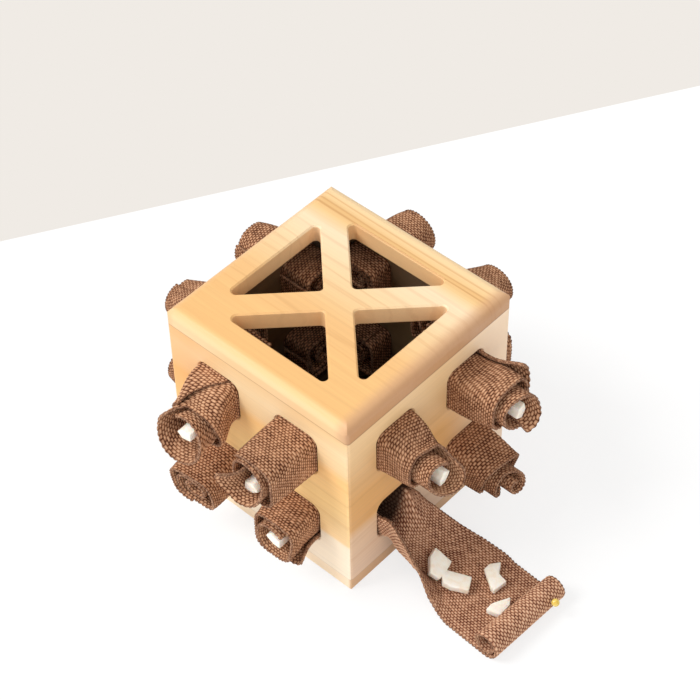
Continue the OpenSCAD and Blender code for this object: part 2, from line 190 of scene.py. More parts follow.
def woodFinish(name, look):  # boards with grain along one axis and tone bands across it
    f = Finish(name)
    place = f.coordinates()
    xyz = f.split(place)
    across = xyz["XYZ".index(look["across"])]
    slow, fine = ([grain[kind][axis == look["grain"]] for axis in "XYZ"] for kind in ("slow", "fine"))
    sway = f.cloud(f.stretched(place, slow, look["shift"]), 1.0, 2.0)
    bent = f.sums("MULTIPLY_ADD", f.sums("SUBTRACT", sway, 0.5), look["sway"] * mm, across)
    low, high = look["range"]
    band = f.ranged(bent, low * mm, high * mm)
    tone = f.ramp(band, [((at - low) / (high - low), linearTone(c)) for at, c in look["bands"]])
    wander = f.cloud(f.stretched(place, [s * 1.6 for s in slow], (1, 4, 6)), 1.0, 2.0)
    growth = f.sums("MULTIPLY", bent, 2 * math.pi / (look["ring"] * mm))
    rings = f.sums("SINE", f.sums("MULTIPLY_ADD", wander, grain["wander"], growth))
    lines = f.ranged(rings, grain["lineFrom"], 1.0, smooth=True)
    patchy = f.ranged(f.cloud(f.stretched(place, [s * 0.5 for s in slow], (3, 7, 1)), 1.0, 1.0), *grain["patches"])
    lines = f.sums("MULTIPLY", lines, f.sums("MULTIPLY", patchy, look["lines"]))
    tone = f.mixed(lines, tone, linearTone(look["line"]))
    fibre = f.cloud(f.stretched(place, fine), 1.0, 3.0, 0.6)
    streak = f.ranged(fibre, 0.3, 0.75, grain["streaks"])
    tone = f.mixed(1.0, tone, f.joined(streak, streak, streak), "MULTIPLY")
    fleck = f.sums("MULTIPLY", f.ranged(fibre, *grain["flecks"], smooth=True), look["fleck"])
    tone = f.mixed(fleck, tone, linearTone(look["line"]))
    for axis, start, end, colour, share in look["ends"]:  # end grain, edges, seams, broad tone areas and a painted highlight
        edge = f.ranged(xyz["XYZ".index(axis)], start * mm, end * mm, (0.0, share), True)
        tone = f.mixed(edge, tone, linearTone(colour))
    reach, top, strength = look["inner"]  # painted tone on the inside faces: painted shade inside the box, painted light on the lid's window walls
    out = f.sums("MAXIMUM", f.sums("ABSOLUTE", xyz[0]), f.sums("ABSOLUTE", xyz[1]))
    within = f.ranged(out, reach * mm, (reach - grain["soften"][0]) * mm, smooth=True)
    below = f.ranged(xyz[2], top * mm, (top - grain["soften"][1]) * mm, smooth=True)
    within = f.sums("MULTIPLY", within, below)
    tone = f.mixed(f.sums("MULTIPLY", within, strength), tone, linearTone(look["paintedInsideTone"]))
    f.put(f.shader, "Base Color", tone)
    f.put(f.shader, "Roughness", f.ranged(fibre, 0.3, 0.7, grain["rough"]))
    f.bumped(fibre, *grain["bump"])
    return f.material


# bands: tones at places across the grain, in mm; ends: axis, from, to, tone and share, for end grain, seams, broad
# tone areas and a painted highlight
# inner: the faces within this far of the middle and below this height, and the share of the tone painted on them,
# painted shade inside the box and painted light on the lid's window walls
lidLook = {
    "grain": "X", "across": "Y", "range": (-62, 62), "shift": (0.3, 0.2, 0.0), "sway": 5.0, "ring": 7.5,
    "bands": [(-62, "#EDB877"), (-50, "#EFBC7A"), (-30, "#F1BF7E"), (-12, "#EEBD80"), (-4, "#F0C58C"),
              (14, "#F4D2A2"), (34, "#F8DDB8"), (42, "#EFC78C"), (44.6, "#EBBF82"), (45.2, "#C99257"),
              (45.9, "#EABD7F"), (47.2, "#EABC7D"), (47.8, "#CE9A60"), (48.6, "#EEC58A"), (51.5, "#F0CA94"),
              (52, "#D7A56C"), (52.6, "#F3D09C"), (62, "#F4D6AA")],
    # the lid's inside tone is painted light on its window walls
    "lines": 0.22, "line": "#B97A3C", "fleck": 0.22, "inner": (54, 123.5, 0.5), "paintedInsideTone": "#FFD2A0",
    # the first of the lid's ends is a painted highlight along its front round-over
    "ends": [("Y", -57.0, -59.6, "#F9DDB4", 0.5), ("X", 50.0, 58.5, "#D2A27A", 0.8),
             ("X", 57.0, 60.0, "#B07A4C", 0.45), ("X", -54.0, -59.5, "#E6B988", 0.7),
             ("Z", 114.2, 113.6, "#8E5C30", 0.5)],
}
frontLook = {
    "grain": "X", "across": "Z", "range": (8, 114), "shift": (1.7, 0.4, 0.9), "sway": 6.0, "ring": 9.0,
    "bands": [(8, "#FFEED4"), (34, "#FFECD0"), (36, "#FFD89E"), (60, "#FFD592"), (83, "#F7C47E"),
              (90, "#F5D09C"), (104, "#F7D8AA"), (114, "#F0C893")],
    # the inside tone is painted shade of the box's unlit inside
    "lines": 0.2, "line": "#C5883F", "fleck": 0.2, "inner": (57, 200, 0.85), "paintedInsideTone": "#40281A",
    # the first of the ends makes the front board more orange towards the left
    "ends": [("X", -12.0, -48.0, "#E8993C", 0.45), ("Z", 113.1, 113.5, "#8E5C30", 0.35),
             ("Z", 8.5, 8.1, "#8E5C30", 0.35)],
}
rightLook = {
    "grain": "Y", "across": "Z", "range": (8, 114), "shift": (0.6, 1.3, 2.9), "sway": 11.0, "ring": 14.0,
    "bands": [(8, "#E3C1A3"), (40, "#E2BE9A"), (47, "#DCA76A"), (66, "#DDA868"), (82, "#E3B57C"),
              (100, "#F0C995"), (114, "#F3CE9C")],
    # the inside tone is painted shade of the box's unlit inside
    "lines": 0.35, "line": "#B87C42", "fleck": 0.15, "inner": (57, 200, 0.85), "paintedInsideTone": "#40281A",
    # the first of the ends makes the right board lighter towards the back
    "ends": [("Y", 5.0, 50.0, "#FFE6CA", 0.75), ("Y", -59.0, -59.7, "#A8713C", 0.6),
             ("Z", 112.9, 113.4, "#7A4A24", 0.6), ("Z", 8.5, 8.1, "#7A4A24", 0.5)],
}
backLook = dict(frontLook, shift=(4.2, 2.2, 0.3))
leftLook = dict(rightLook, shift=(2.1, 0.8, 5.1))
baseLook = {
    "grain": "X", "across": "Y", "range": (-62, 62), "shift": (2.3, 5.2, 0.0), "sway": 6.0, "ring": 8.0,
    "bands": [(-62, "#F6D4A8"), (-20, "#F3CA95"), (20, "#F6D5A8"), (62, "#F2C992")],
    # the inside tone is painted shade of the box's unlit inside
    "lines": 0.3, "line": "#C98F4E", "fleck": 0.15, "inner": (53, 200, 0.85), "paintedInsideTone": "#40281A",
    "ends": [("Y", -59.0, -59.8, "#FFE9CA", 0.8), ("X", 58.0, 59.9, "#C99A6E", 0.8),
             ("X", -58.0, -59.9, "#D8AE86", 0.7)],
}
boardLooks = {"lid": lidLook, "front_board": frontLook, "right_board": rightLook,
              "back_board": backLook, "left_board": leftLook, "bottom_board": baseLook}
for boardName, boardLook in boardLooks.items():
    boardNode = nodes[boardName]
    boardNode.data.materials.clear()
    boardNode.data.materials.append(woodFinish(boardName + "Wood", boardLook))
print("boards finished")


web = {
    "width": 51.0, "length": 143.0, "thick": 1.5, "warps": 38, "picks": 64,  # warps across, floats along
    "float": 0.26, "dome": 1.35, "sink": 0.4, "loop": 0.55,  # how a float arches and a weft loop stands out
    "light": "#DCAE8A", "mid": "#A37253", "dark": "#4F2C1E", "edge": "#8A6148", "inHole": "#1C100A",
    "tones": ((0.12, "dark"), (0.36, "mid"), (0.85, "light")),
    "edgeTones": ((0.3, "dark"), (0.48, "edge"), (0.7, "light")),
    "hump": 0.72, "worn": 0.22, "cloudy": 0.25, "fuzzy": 0.3,  # what each adds to a thread's tone; the hump's share is painted highlight on the float crowns and painted shade in the gaps
}


def webbingFinish(name, look, shadedTo=None):  # shadedTo: darker up to this x, where it is in the hole
    f = Finish(name)
    uv = f.split(f.coordinates("UV"))
    x = f.sums("MULTIPLY", uv[0], float(look["warps"]))
    column = f.sums("FLOOR", x)
    y = f.sums("ADD", f.sums("MULTIPLY", uv[1], float(look["picks"])), f.sums("MULTIPLY", column, 0.5))
    fx = f.sums("SUBTRACT", x, column)
    row = f.sums("FLOOR", y)
    fy = f.sums("SUBTRACT", y, row)
    hump = f.sums("MULTIPLY", f.sums("SINE", f.sums("MULTIPLY", fx, math.pi)),
                  f.sums("SINE", f.sums("MULTIPLY", fy, math.pi)))
    worn = f.specks(f.joined(column, row, 0.0))
    place = f.coordinates()
    wide = f.cloud(place, 90.0, 2.0)
    fuzz = f.cloud(place, 1500.0, 3.0, 0.65)
    # the hump lightens each float's crown and darkens the gaps between floats: painted highlight and painted shade
    # of the weave
    level = f.sums("ADD", f.sums("MULTIPLY", hump, look["hump"]), f.sums("MULTIPLY", worn, look["worn"]))
    for cloud, share in ((wide, look["cloudy"]), (fuzz, look["fuzzy"])):
        level = f.sums("ADD", level, f.sums("MULTIPLY", f.sums("SUBTRACT", cloud, 0.5), share))
    tone = f.ramp(level, [(at, linearTone(look[key])) for at, key in look["tones"]])
    if shadedTo is not None:
        deep = f.ranged(f.split(place)[0], (shadedTo + 1.5) * mm, (shadedTo - 3) * mm, (0.0, 0.85), True)
        tone = f.mixed(deep, tone, linearTone(look["inHole"]))
    f.put(f.shader, "Base Color", tone)
    f.shader.inputs["Roughness"].default_value = 0.92
    f.shader.inputs["Specular IOR Level"].default_value = 0.12
    f.shader.inputs["Sheen Weight"].default_value = 0.08
    f.shader.inputs["Sheen Roughness"].default_value = 0.5
    f.shader.inputs["Sheen Tint"].default_value = linearTone(look["light"])
    f.bumped(f.sums("ADD", f.sums("MULTIPLY", hump, 0.8), f.sums("MULTIPLY", fuzz, 0.35)), 0.7, 0.0004)
    return f.material


def edgeFinish(name, look):  # selvage and cut ends, where the threads' sides show
    f = Finish(name)
    place = f.coordinates()
    threads = f.cloud(place, 1100.0, 3.0, 0.7)
    f.put(f.shader, "Base Color", f.ramp(threads, [(at, linearTone(look[key])) for at, key in look["edgeTones"]]))
    f.shader.inputs["Roughness"].default_value = 0.95
    f.bumped(threads, 0.8, 0.0005)
    return f.material


webFinish = webbingFinish("brownWebbing", web)
webEdge = edgeFinish("webbingEdge", web)


def wovenStrap(name, shape, node, body, finish=webFinish):  # a strip formed by shape(u, v)
    columns, rows = 2 * web["warps"], 4 * web["picks"]
    bm = bmesh.new()
    bmesh.ops.create_grid(bm, x_segments=columns, y_segments=rows, size=0.5, calc_uvs=False)
    uvLayer = bm.loops.layers.uv.new("weave")
    cells = {}
    for vert in bm.verts:
        i = round((vert.co.x + 0.5) * columns)
        j = round((vert.co.y + 0.5) * rows)
        cells[vert] = (i, j)
        side = (i == columns) - (i == 0)
        selvage = side * web["loop"] * math.sin(math.pi * (j % 4) / 4)  # weft loops stand out of it
        vert.co = Vector(shape(web["length"] * j / rows, web["width"] * i / columns + selvage)) * mm
    for face in bm.faces:
        for loop in face.loops:
            i, j = cells[loop.vert]
            loop[uvLayer].uv = (i / columns, j / rows)
        face.smooth = True
    bm.normal_update()
    lifts = []
    for vert, (i, j) in cells.items():
        dome = math.sin(math.pi * ((j / 4 + 0.5 * (i // 2)) % 1)) if i % 2 else 0  # threads arch over their floats
        lifts.append((vert, vert.normal * web["float"] * (web["dome"] * dome - web["sink"]) * mm))
    for vert, lift in lifts:
        vert.co += lift
    piece = addObject(name, bm, finish, webEdge)
    wall = piece.modifiers.new("wall", "SOLIDIFY")
    wall.thickness = web["thick"] * mm
    wall.offset = 0.0
    wall.material_offset_rim = 1
    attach(piece, body)
    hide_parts(node)


box = {"half": 60.0, "pitch": 52.0, "rows": (36.0, 88.0), "innerSquare": 39.19,
       "facing": {"front": 0, "right": 90, "back": 180, "left": 270}}
winding = {  # radius of a winding from its inner end to its outer one, by what it holds
    "treat": [(0, 6.9), (0.41, 10.6), (0.48, 12.2), (1, 12.45)],
    "bare": [(0, 3.0), (0.13, 5.5), (0.3, 8.6), (0.42, 10.6), (0.48, 12.2), (1, 12.45)],
    "squareLength": 1.08, "steps": 286, "fullTurn": 6.28, "wobble": (0.3, 0.15),
    "corner": 4.5, "cornerFrom": (0.3, 0.48), "collarOver": 10, "leanOver": 13, "outerFrom": (0.25, 0.6),
}


def rolledShape(r):  # u runs along the strap from its inner end, v across it and out of the hole
    steps = winding["steps"]
    turns = [0.0]
    for k in range(steps):
        turns.append(turns[-1] + web["length"] / steps / straightAlong(winding[r["core"]], (k + 0.5) / steps)
                     / winding["squareLength"])
    edge = math.radians(r["edge"])
    turn = math.radians(box["facing"][r["face"]])
    wobble = random.Random(r["seed"])
    phase, second = (wobble.uniform(0, winding["fullTurn"]) for _ in range(2))
    start = box["innerSquare"] - box["half"] - r["deeper"]
    mouth = start + web["width"]  # distance of the outermost wrap's rim from the board

    def place(u, v):
        share = u / web["length"]
        radius = straightAlong(winding[r["core"]], share)
        angle = edge - r["wind"] * (turns[-1] - turns[min(steps, round(share * steps))])
        z = start + v + along(r["proud"], share)
        free = easeIn(0.0, mouth, z)  # how far this point is out of the hole
        past = max(0.0, z - mouth) / winding["collarOver"]
        angle += math.radians(r["twist"] * share + r["innerTwist"] * (1 - share)) * free
        near = 1 - r["round"] * max(0.0, min(1.0, z / mouth))
        power = 2 + (1 + winding["corner"] * easeIn(*winding["cornerFrom"], share)) * near  # 2 is a circle
        spread = (abs(math.cos(angle)) ** power + abs(math.sin(angle)) ** power) ** (-1 / power)
        radius *= spread
        radius += free * (along(r["flare"], share) + winding["wobble"][0] * math.sin(2 * angle + phase)
                          + winding["wobble"][1] * math.sin(3 * angle + second))
        radius += past * past * along(r["collar"], share)
        radius += (0.25 + 0.75 * free) * free * along(r["lift"], share)
        x, y = radius * math.cos(angle), radius * math.sin(angle)
        at, amount = math.radians(r["oval"][0]), r["oval"][1] * free
        alongOval = (x * math.cos(at) + y * math.sin(at)) * (1 + amount)
        acrossOval = (y * math.cos(at) - x * math.sin(at)) * (1 - amount)
        x = alongOval * math.cos(at) - acrossOval * math.sin(at)
        y = alongOval * math.sin(at) + acrossOval * math.cos(at)
        part = easeIn(*winding["outerFrom"], share)
        lean = sum((r["leanIn"][i] * (1 - part) + r["leanOut"][i] * part) * (x, y)[i] for i in (0, 1))
        z += free * lean / winding["leanOver"]
        x += r["drift"][0] * free * free
        y += r["drift"][1] * free * free
        side, row = r["hole"]
        px, py = side * box["pitch"] / 2 + x, -box["half"] - z
        return (px * math.cos(turn) - py * math.sin(turn), px * math.sin(turn) + py * math.cos(turn),
                box["rows"][row] + y)

    return place


flat = [(0, 0), (1, 0)]
# deeper: mm further into the hole; edge: where the outer end lies, in degrees; wind: which way it turns
# round: how far the square winding is round at its mouth; twist: degrees at the mouth, of the outer end
# proud (out of the hole), flare, collar and lift (outwards): mm, by share of the strap from its inner end
# oval: direction and amount; drift: mm sideways and up, at the mouth
# leanIn, leanOut: mm by which one side of the inner and of the outer wraps stands further out
plainRoll = {"core": "bare", "deeper": 0, "edge": 40, "wind": 1, "twist": 0, "innerTwist": 0, "round": 0.35,
             "proud": flat, "flare": flat, "collar": flat, "lift": flat, "oval": (0, 0.0), "drift": (0, 0),
             "leanIn": (0, 0), "leanOut": (0, 0), "seed": 1}
rolls = {
    "front_upper_left": dict(plainRoll, face="front", hole=(-1, 1), core="treat", deeper=12, edge=62, wind=-1,
                             seed=3, round=0.8, twist=62, innerTwist=50,
                             proud=[(0, 12), (0.36, 12), (0.44, 2.5), (0.7, 0), (1, 1.5)],
                             flare=[(0, 1.6), (0.36, 1.4), (0.5, 0), (1, -0.5)], oval=(140, 0.06),
                             collar=[(0, 1.5), (0.34, 1.5), (0.44, 0), (1, 0)], lift=[(0.93, 0), (1, 1.2)],
                             leanIn=(-1.5, -5.0), leanOut=(-2.0, 1.5), drift=(3.0, -6.8)),
    "front_upper_right": dict(plainRoll, face="front", hole=(1, 1), core="treat", edge=-220, seed=5, round=0.7,
                              proud=[(0, 13), (0.1, 9), (0.28, 2), (0.4, 0.5), (1, -0.5)],
                              collar=[(0, 3.5), (0.12, 2), (0.3, 0), (1, 0)]),
    "front_lower_left": dict(plainRoll, face="front", hole=(-1, 0), deeper=5, edge=-100, seed=7, round=0.75,
                             proud=[(0, -1.5), (0.4, -1), (1, 0)],
                             flare=[(0, 0.6), (0.4, 0.4), (0.5, -0.6), (1, -0.8)],
                             oval=(150, 0.05), leanIn=(-1.5, 1.5), leanOut=(-1.5, 1.5), drift=(0.8, -1.4)),
    "front_lower_right": dict(plainRoll, face="front", hole=(1, 0), core="treat", deeper=10, edge=-35, seed=9,
                              proud=[(0, 1), (0.36, 1), (0.45, -1), (0.85, 0), (1, -4)], round=0.6, innerTwist=90,
                              flare=[(0, 2.0), (0.4, 1.0), (0.5, 0.3), (1, 0.3)],
                              lift=[(0.9, 0), (1, 3.0)], drift=(1.4, -2.5)),
    "right_upper_front": dict(plainRoll, face="right", hole=(-1, 1), core="treat", deeper=12, edge=-35, seed=11,
                              innerTwist=100, round=0.9,
                              proud=[(0, 13), (0.37, 12.5), (0.43, 4), (0.5, 2.5), (0.62, 0), (1, 0)],
                              flare=[(0, 0.4), (0.35, 0.3), (0.5, -1.0), (1, -1.0)],
                              leanIn=(4, -5), drift=(0.5, -4.2)),
    "right_upper_back": dict(plainRoll, face="right", hole=(1, 1), core="treat", deeper=3, edge=50, seed=13,
                             innerTwist=-140, round=0.8,
                             proud=[(0, 11), (0.12, 8), (0.36, 6.5), (0.43, 0), (0.6, 0), (0.9, 0), (1, -3)],
                             flare=[(0, 1.0), (0.5, 0), (1, 0)], lift=[(0.86, 0), (1, 6)],
                             collar=[(0, 2.5), (0.1, 0.5), (0.2, 0), (1, 0)], leanIn=(3, -2), drift=(1.2, 1.2)),
    "right_lower_back": dict(plainRoll, face="right", hole=(1, 0), deeper=7, edge=-120, seed=17,
                             round=0.7, proud=[(0, 12.5), (0.16, 11.5), (0.28, 8), (0.42, 6), (0.5, 1), (1, 0)],
                             flare=[(0, 0), (0.3, -0.4), (0.5, -0.8), (1, -0.8)], leanIn=(2, -2), leanOut=(1, 4),
                             drift=(0.5, -3.0)),
    "back_upper_left": dict(plainRoll, face="back", hole=(-1, 1), edge=200, seed=19, round=1,
                            flare=[(0, 0), (0.41, -1.4), (1, -2)], drift=(-1, -4)),
    "back_upper_right": dict(plainRoll, face="back", hole=(1, 1), edge=250, seed=23, round=1,
                             proud=[(0, 3), (0.5, 1), (1, 0)], flare=[(0, 0), (0.41, -0.8), (1, -1.0)],
                             drift=(0.8, -0.5)),
    "left_upper_front": dict(plainRoll, face="left", hole=(1, 1), edge=90, seed=37, round=1,
                             proud=[(0, -3), (0.5, -1), (1, 0)], flare=[(0, -0.5), (0.41, -2.8), (1, -3.4)],
                             drift=(-1, -4.5)),
    "left_upper_back": dict(plainRoll, face="left", hole=(-1, 1), deeper=4, edge=30, seed=41, round=1,
                            flare=[(0, 0), (0.41, -1.2), (1, -1.6)], drift=(1, 0.5)),
    "back_lower_left": dict(plainRoll, face="back", hole=(-1, 0), edge=60, seed=29,
                            proud=[(0, 9), (0.35, 6), (0.5, 0), (1, 0)], flare=[(0, 1), (1, 0.4)]),
    "back_lower_right": dict(plainRoll, face="back", hole=(1, 0), edge=120, seed=31, flare=[(0, 0), (1, 0.6)]),
    "left_lower_front": dict(plainRoll, face="left", hole=(1, 0), edge=75, seed=43,
                             proud=[(0, -2), (1, 0)], flare=[(0, -0.5), (0.41, -2.8), (1, -3.4)],
                             round=1, drift=(2, -1)),
    "left_lower_back": dict(plainRoll, face="left", hole=(-1, 0), deeper=2, edge=15, seed=47,
                            flare=[(0, 0), (1, 0.5)], lift=[(0.93, 0), (1, 1.5)]),
}
for rollName, roll in rolls.items():
    wovenStrap(rollName + "Webbing", rolledShape(roll), rollName + "_strap", rollName + "_roll")
print("rolled straps:", len(rolls))


# fall to narrow: by share of the run from the hole; farEdge: y and z of the far edge, by x
# fold: y and z across the strap where it leaves the hole
laid = {
    "x0": 60.0, "inside": 12.0, "run": 50.0, "reach": 76.5, "lowZ": 23.8, "flatZ": 0.95, "nearY": -38.2,
    "spread": 5.2, "lip": 18.0, "bend": 3.8, "farLip": 4.3, "farCore": 3.0, "yaw": 3.2,
    "lowAt": 0.47, "step": 0.5, "across": 102, "openedBy": 0.22, "foldEase": 0.3, "halfCloth": 0.9,
    "swing": {"pivot": 44, "from": 20, "over": 24}, "farPull": (0.72, 1.0), "farPullEnd": (96, 104),
    # the laid strap's lighter tones are painted light against the shadow it lies in
    "light": "#E6BD9D", "mid": "#B27E60", "dark": "#5C3428",
    "fall": [(0, 0), (0.05, 0.01), (0.12, 0.09), (0.22, 0.33), (0.38, 0.7), (0.54, 0.89), (0.7, 0.97),
             (0.88, 1), (1, 1)],
    "lean": [(0, 90), (0.22, 84), (0.38, 74), (0.54, 55), (0.7, 28), (0.88, 8), (1, 0)],
    "lipShare": [(0, 1), (0.22, 0.85), (0.38, 0.7), (0.54, 0.6), (0.7, 0.5), (1, 0.3)],
    "farBend": [(0, 90), (0.06, 80), (0.12, 54), (0.22, 32), (0.38, 19), (0.54, 6), (0.7, 0), (1, 0)],
    "farWiden": [(0, 0), (0.2, 10), (1, 10)],
    "edgeOut": [(0, 0), (0.36, -0.32), (0.54, -0.1), (0.71, 0.45), (0.87, 0.77), (1, 1)],
    "narrow": [(0, 1), (0.16, 0.99), (0.3, 0.95), (0.42, 0.93), (0.56, 0.95), (0.9, 1)],
    "farEdge": [(60, (-12.9, 37)), (62, (-11, 34.5)), (66, (-7.8, 28)), (71, (-3.3, 20)), (79, (1.3, 12)),
                (87, (6.5, 4)), (104, (8.6, 1))],
    "windPitch": 2.2, "cone": (1.14, 0.16),
    "fold": [(-38.4, 40), (-38.3, 32.5), (-37.2, 26), (-32, 24), (-26.5, 25.5), (-22, 31.5), (-18.6, 42.5),
             (-16.6, 36.5), (-13.9, 31)],
}
laid["midY"] = laid["nearY"] - laid["spread"] + web["width"] / 2
laid["rollX"] = laid["x0"] + laid["reach"]


def swung(x, y, z):  # the far end is turned towards the front
    swing = laid["swing"]
    pivot = laid["x0"] + swing["pivot"]
    angle = -math.radians(laid["yaw"]) * max(0.0, min(1.0, (x - laid["x0"] - swing["from"]) / swing["over"]))
    dx, dy = x - pivot, y - laid["midY"]
    return (pivot + dx * math.cos(angle) - dy * math.sin(angle),
            laid["midY"] + dx * math.sin(angle) + dy * math.cos(angle), z)


def chuteSection(x):  # places across the strap at a distance x, 0.5 mm apart
    share = max(0.0, min(1.0, (x - laid["x0"]) / laid["run"]))
    lean = straightAlong(laid["lean"], share)
    lip = laid["lip"] * straightAlong(laid["lipShare"], share)
    bend = max(0.01, laid["bend"] * math.radians(lean))
    farBend = straightAlong(laid["farBend"], share)
    far = math.pi / 2 * laid["bend"] + straightAlong(laid["farWiden"], share)
    farStart = web["width"] - laid["farLip"] - far
    y, z = 0.0, 0.0
    steps = laid["across"]
    walk = [(0.0, 0.0)]
    for k in range(steps):
        v = (k + 0.5) * web["width"] / steps
        heading = (farBend * max(0.0, min(1.0, (v - farStart) / far))
                   - lean * max(0.0, min(1.0, 1 - (v - lip) / bend)))
        y += web["width"] / steps * math.cos(math.radians(heading))
        z += web["width"] / steps * math.sin(math.radians(heading))
        walk.append((y, z))
    base = walk[round(laid["lowAt"] * steps)][1]
    height = laid["lowZ"] + (laid["flatZ"] - laid["lowZ"]) * straightAlong(laid["fall"], share)
    edgeY = laid["nearY"] - laid["spread"] * straightAlong(laid["edgeOut"], share)
    opened = easeIn(0.0, laid["openedBy"], share)  # the strap leaves the hole with a fold standing in its middle
    section = []
    for k, p in enumerate(walk):
        place = k / steps * (len(laid["fold"]) - 1)
        i = min(int(place), len(laid["fold"]) - 2)
        a, b = laid["fold"][i], laid["fold"][i + 1]
        t = easeIn(0, 1, place - i) * laid["foldEase"] + (place - i) * (1 - laid["foldEase"])
        folded = (a[0] + (b[0] - a[0]) * t, a[1] + (b[1] - a[1]) * t)
        lying = (edgeY + p[0] * straightAlong(laid["narrow"], share), max(laid["flatZ"], height + p[1] - base))
        section.append(tuple(folded[c] * (1 - opened) + lying[c] * opened for c in (0, 1)))
    if x < laid["farEdge"][-1][0]:
        away = [straightAlong([(at, p[c]) for at, p in laid["farEdge"]], x) - section[-1][c] for c in (0, 1)]
        pull = 1 - easeIn(*laid["farPullEnd"], x)
        section = [tuple(p[c] + away[c] * easeIn(*laid["farPull"], k / steps) * pull for c in (0, 1))
                   for k, p in enumerate(section)]
    return section


def laidShape():  # u runs along the strap from its end in the hole, v across it from its near edge
    count = int((laid["inside"] + laid["reach"]) / laid["step"])
    stations = [laid["x0"] - laid["inside"] + laid["step"] * k for k in range(count + 1)]
    sections = [chuteSection(x) for x in stations]
    length = [0.0]
    middle = len(sections[0]) // 2
    for k in range(1, len(stations)):
        a, b = sections[k - 1][middle], sections[k][middle]
        length.append(length[-1] + math.dist((stations[k - 1], *a), (stations[k], *b)))
    left = web["length"] - length[-1]
    farMid = math.sqrt((laid["farCore"] + laid["halfCloth"]) ** 2 + left * laid["windPitch"] / math.pi)
    print("laid-out strap: %.1f mm before the far roll, radius %.1f mm" % (length[-1], farMid + laid["halfCloth"]))

    def place(u, v):
        at = v / web["width"] * (len(sections[0]) - 1)
        i = max(0, min(int(at), len(sections[0]) - 2))
        part = at - i
        if u < length[-1]:
            k = next(n for n in range(1, len(length)) if length[n] >= u)
            t = (u - length[k - 1]) / (length[k] - length[k - 1])
            x = stations[k - 1] + t * (stations[k] - stations[k - 1])
            a = [sections[k - 1][i][c] * (1 - part) + sections[k - 1][i + 1][c] * part for c in (0, 1)]
            b = [sections[k][i][c] * (1 - part) + sections[k][i + 1][c] * part for c in (0, 1)]
            y, z = a[0] + (b[0] - a[0]) * t, a[1] + (b[1] - a[1]) * t
            return swung(x, y, z)
        radius = math.sqrt(max(0.1, farMid ** 2 - (u - length[-1]) * laid["windPitch"] / math.pi))
        angle = (farMid - radius) / laid["windPitch"] * 2 * math.pi
        cone = laid["cone"][0] - laid["cone"][1] * v / web["width"]
        x = laid["rollX"] + radius * math.sin(angle) * cone
        z = laid["flatZ"] + (farMid - radius * math.cos(angle)) * cone
        dx, dy, _ = swung(laid["rollX"], laid["midY"] - web["width"] / 2 + v, 0)
        away = x - laid["rollX"]
        return (dx + away * math.cos(math.radians(laid["yaw"])),
                dy - away * math.sin(math.radians(laid["yaw"])), z)

    return place


# a lighter copy of the webbing for the laid strap is painted light; it also gets painted shade where it lies in
# the hole
laidLitLook = dict(web, **{tone: laid[tone] for tone in ("light", "mid", "dark")})
laidLitFinish = webbingFinish("laidLitWebbing", laidLitLook, laid["x0"])
wovenStrap("laidOutWebbing", laidShape(), "laid_out_strap", "laid_out", laidLitFinish)


chunk = {
    "tones": [(0.3, "#FBEEDA"), (0.5, "#FFF8EA"), (0.75, "#FFFDF5")], "laidThick": 4.0, "rolledSize": 5.4,
    "edge": 0.55, "chip": 0.3, "topChip": (-0.45, 0.1), "rough": 0.16, "roughScale": 0.9,
}


def treatFinish():
    f = Finish("dryTreat")
    place = f.coordinates()
    patch = f.cloud(place, 260.0, 3.0, 0.6)
    grains = f.cloud(place, 1400.0, 4.0, 0.7)
    f.put(f.shader, "Base Color", f.ramp(patch, [(at, linearTone(c)) for at, c in chunk["tones"]]))
    f.shader.inputs["Roughness"].default_value = 0.75
    f.shader.inputs["Subsurface Weight"].default_value = 0.12
    f.shader.inputs["Subsurface Scale"].default_value = 0.002
    f.bumped(f.sums("ADD", grains, f.sums("MULTIPLY", patch, 0.6)), 0.5, 0.0006)
    return f.material


chunkFinish = treatFinish()


def treatChunk(name, node, body, outline, thick, turned, shift):  # outline raised to its thickness, edges chipped
    low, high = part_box(node)
    corners = [turned @ Vector((x, y, z)) for x, y in outline for z in (0, thick)]
    offset = Vector([(max(c[i] for c in corners) + min(c[i] for c in corners)) / 2 for i in range(3)])
    placed = Matrix.Translation((low + high) / 2 / mm - offset + Vector(shift)) @ turned
    bm = bmesh.new()
    ring = [bm.verts.new((x, y, 0)) for x, y in outline]
    face = bm.faces.new(ring)
    raised = bmesh.ops.extrude_face_region(bm, geom=[face])
    top = [v for v in raised["geom"] if isinstance(v, bmesh.types.BMVert)]
    bmesh.ops.translate(bm, verts=top, vec=(0, 0, thick))
    chips = random.Random(name)
    for v in top:
        v.co += Vector((chips.uniform(-chunk["chip"], chunk["chip"]), chips.uniform(-chunk["chip"], chunk["chip"]),
                        chips.uniform(*chunk["topChip"])))
    bmesh.ops.recalc_face_normals(bm, faces=bm.faces)
    bmesh.ops.bevel(bm, geom=bm.edges[:], offset=chunk["edge"], offset_type="OFFSET", affect="EDGES",
                    segments=2, profile=0.5, material=-1, clamp_overlap=True)
    bmesh.ops.triangulate(bm, faces=[x for x in bm.faces if len(x.verts) > 4])
    bmesh.ops.subdivide_edges(bm, edges=bm.edges[:], cuts=2, use_grid_fill=True)
    for v in bm.verts:
        v.co += v.normal * chunk["rough"] * noise.noise(v.co * chunk["roughScale"] + Vector((len(name), 0, 0)))
    bmesh.ops.transform(bm, matrix=Matrix.Scale(mm, 4) @ placed, verts=bm.verts)
    for x in bm.faces:
        x.smooth = True
    piece = addObject(name, bm, chunkFinish)
    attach(piece, body)
    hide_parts(node)


def rotated(*turns):  # (degrees, axis) pairs, the last one first
    whole = Matrix.Identity(4)
    for degrees, axis in turns:
        whole = whole @ Matrix.Rotation(math.radians(degrees), 4, axis)
    return whole


